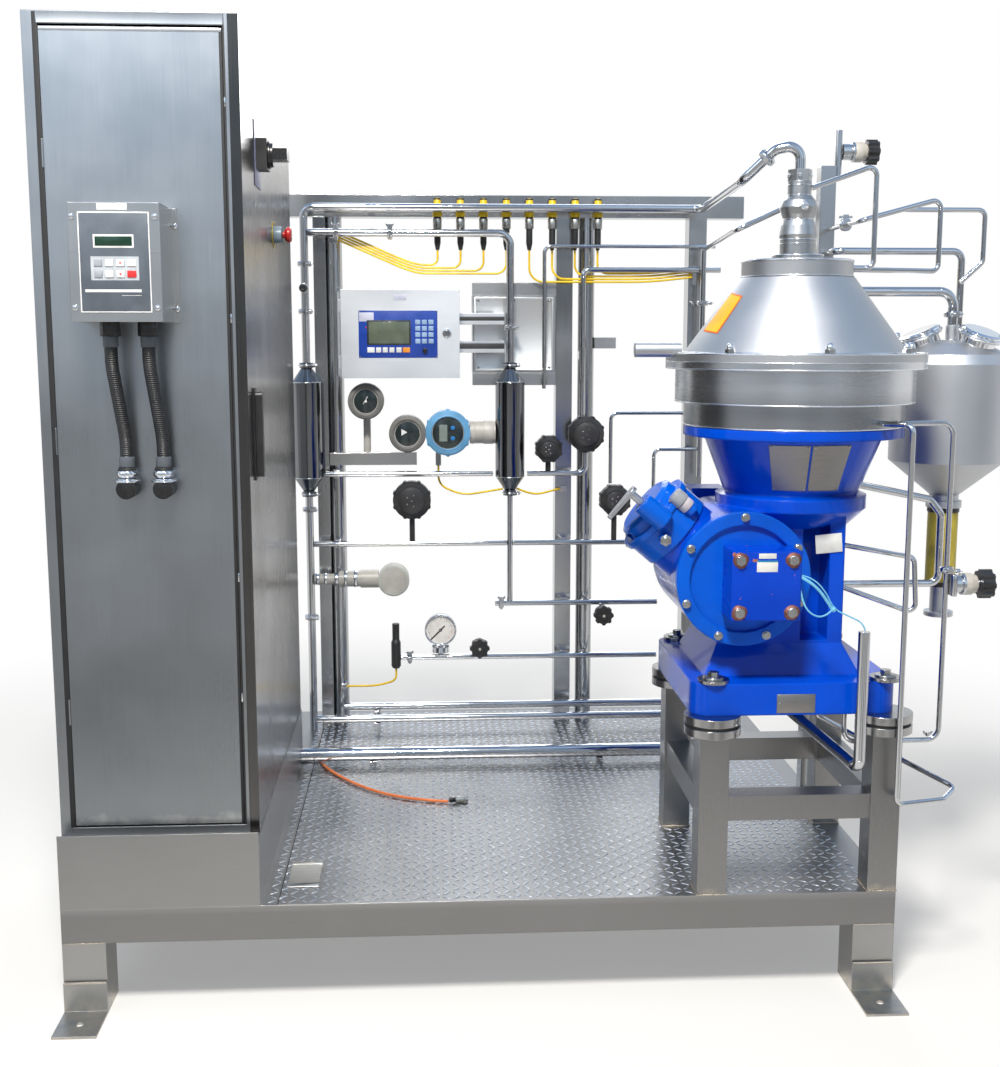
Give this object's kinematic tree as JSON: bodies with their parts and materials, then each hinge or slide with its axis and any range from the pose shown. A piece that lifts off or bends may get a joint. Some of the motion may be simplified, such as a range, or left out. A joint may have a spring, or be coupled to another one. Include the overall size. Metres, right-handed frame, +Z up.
{
  "type": "disc stack separator skid",
  "caption": "Self-cleaning disc stack separator on a steel skid with control cabinet, pipe rack, flow sensors, operator panel and feed tank; splits liquids and solids.",
  "frame": {"origin": "centre of the four anchor holes on the floor, under the middle of the skid", "axes": "+Z up; -Y towards the front with the cabinet's narrow door; +X to the right, from the cabinet to the separator"},
  "size_m": [2.377, 1.86, 2.245],
  "materials": {
    "stainless": "brushed",
    "sheet": "brushed",
    "polished": "polished",
    "chrome": "polished",
    "blue_paint": "gloss",
    "hood_steel": "satin",
    "grey_paint": "semi-gloss",
    "light_grey_paint": "satin",
    "drive_grey": "satin",
    "black_plastic": "matte",
    "black_gloss": "satin",
    "red_plastic": "gloss",
    "yellow_cable": "satin",
    "orange_cable": "satin",
    "rubber": "matte",
    "machined": "machined",
    "needle": "matte",
    "dial": "matte",
    "zinc": "zinc plated"
  },
  "bodies": {
    "skid": {"base_frame": "stainless", "bearings": "machined", "brake_housing": "blue_paint", "cabinet_shell": "sheet", "catcher": "hood_steel", "deck_cable": "orange_cable", "door_hinges": "stainless", "drive_flange": "blue_paint", "feed_tube": "polished", "flow_sensors": "polished", "frame_legs": "stainless", "gear_cover": "blue_paint", "hand_valves": "polished", "hood": "hood_steel", "inlet_head": "hood_steel", "line_clamps": "polished", "machine_bolts": "zinc", "machine_frame": "blue_paint", "machine_lines": "chrome", "motor_body": "blue_paint", "operator_box": "stainless", "pad_plates": "zinc", "pad_rubbers": "rubber", "pipe_rack": "polished", "pressure_gauge": "dial", "rack_lines": "chrome", "sensor_cables": "yellow_cable", "sensor_plugs": "black_plastic", "stand_frame": "stainless", "switchgear": "light_grey_paint", "tank": "hood_steel", "tank_ports": "polished", "terminal_boxes": "stainless", "transmitter_heads": "grey_paint", "valve_actuators": "black_plastic"},
    "front_door_body": {"front_door": "sheet", "drive_box": "drive_grey", "drive_conduits": "black_plastic"},
    "side_door_body": {"main_door": "sheet", "switch_bases": "black_plastic"},
    "handle_body": {"door_handle": "black_plastic"},
    "isolator_body": {"isolator_knob": "black_gloss"},
    "estop_body": {"estop_button": "red_plastic"},
    "bowl": {"spindle": "machined", "bowl_body": "machined", "distributor": "machined", "disc_stack": "machined", "bowl_top": "machined", "lock_ring": "machined"},
    "piston": {"sliding_piston": "machined"},
    "drive": {"drive_shaft": "machined", "worm_wheel": "machined"},
    "brake": {"brake_lever": "polished"},
    "operator_door_body": {"operator_door": "stainless"},
    "operator_lock_body": {"operator_lock": "chrome"},
    "needle_body": {"gauge_needle": "needle"},
    "wheel_right": {"handwheel_right": "black_plastic"},
    "wheel_top": {"handwheel_top": "black_plastic"},
    "wheel_left": {"handwheel_left": "black_plastic"},
    "wheel_rear": {"handwheel_rear": "black_plastic"}
  },
  "joints": [
    {"name": "front_door_hinge", "type": "hinge", "parent": "skid", "child": "front_door_body", "pos_m": [-0.9475, -0.768, 1.329], "axis": [0, 0, 1], "range_deg": [-110, 0]},
    {"name": "side_door_hinge", "type": "hinge", "parent": "skid", "child": "side_door_body", "pos_m": [-0.5463, 0.2633, 1.33], "axis": [0, 0, 1], "range_deg": [0, 90]},
    {"name": "handle_turn", "type": "hinge", "parent": "side_door_body", "child": "handle_body", "pos_m": [-0.519, -0.667, 1.425], "axis": [1, 0, 0], "range_deg": [0, 90]},
    {"name": "isolator_turn", "type": "hinge", "parent": "side_door_body", "child": "isolator_body", "pos_m": [-0.49, -0.495, 1.985], "axis": [1, 0, 0], "range_deg": [0, 90]},
    {"name": "estop_push", "type": "slide", "parent": "side_door_body", "child": "estop_body", "axis": [-1, 0, 0], "range_m": [0, 0.006]},
    {"name": "bowl_spin", "type": "hinge", "parent": "skid", "child": "bowl", "pos_m": [0.765, -0.552, 1.2], "axis": [0, 0, 1], "continuous": true},
    {"name": "piston_slide", "type": "slide", "parent": "bowl", "child": "piston", "axis": [0, 0, 1], "range_m": [-0.004, 0]},
    {"name": "drive_spin", "type": "hinge", "parent": "skid", "child": "drive", "pos_m": [0.606, -0.552, 1.002], "axis": [0, 1, 0], "continuous": true},
    {"name": "brake_turn", "type": "hinge", "parent": "skid", "child": "brake", "pos_m": [0.34312, -0.742, 1.20128], "axis": [-0.766, 0, 0.6428], "range_deg": [0, 45]},
    {"name": "operator_door_hinge", "type": "hinge", "parent": "skid", "child": "operator_door_body", "pos_m": [-0.4003, 0.51815, 1.569], "axis": [0, 0, 1], "range_deg": [-95, 0]},
    {"name": "operator_lock_turn", "type": "hinge", "parent": "operator_door_body", "child": "operator_lock_body", "pos_m": [-0.061, 0.5, 1.571], "axis": [0, -1, 0], "range_deg": [0, 90]},
    {"name": "needle_swing", "type": "hinge", "parent": "skid", "child": "needle_body", "pos_m": [-0.087, 0.576, 0.593], "axis": [0, -1, 0], "range_deg": [-270, 0]},
    {"name": "wheel_right_turn", "type": "hinge", "parent": "skid", "child": "wheel_right", "pos_m": [1.189, -0.7, 0.975], "axis": [1, 0, 0], "range_deg": [0, 720]},
    {"name": "wheel_top_turn", "type": "hinge", "parent": "skid", "child": "wheel_top", "pos_m": [1.053, -0.15, 2.049], "axis": [1, 0, 0], "range_deg": [0, 720]},
    {"name": "wheel_left_turn", "type": "hinge", "parent": "skid", "child": "wheel_left", "pos_m": [0.042, 0.55, 0.538], "axis": [0, -1, 0], "range_deg": [0, 720]},
    {"name": "wheel_rear_turn", "type": "hinge", "parent": "skid", "child": "wheel_rear", "pos_m": [0.454, 0.55, 0.645], "axis": [0, -1, 0], "range_deg": [0, 720]}
  ],
  "couplings": [
    {"joint": "drive_spin", "follows": "bowl_spin", "ratio": 0.23256}
  ]
}
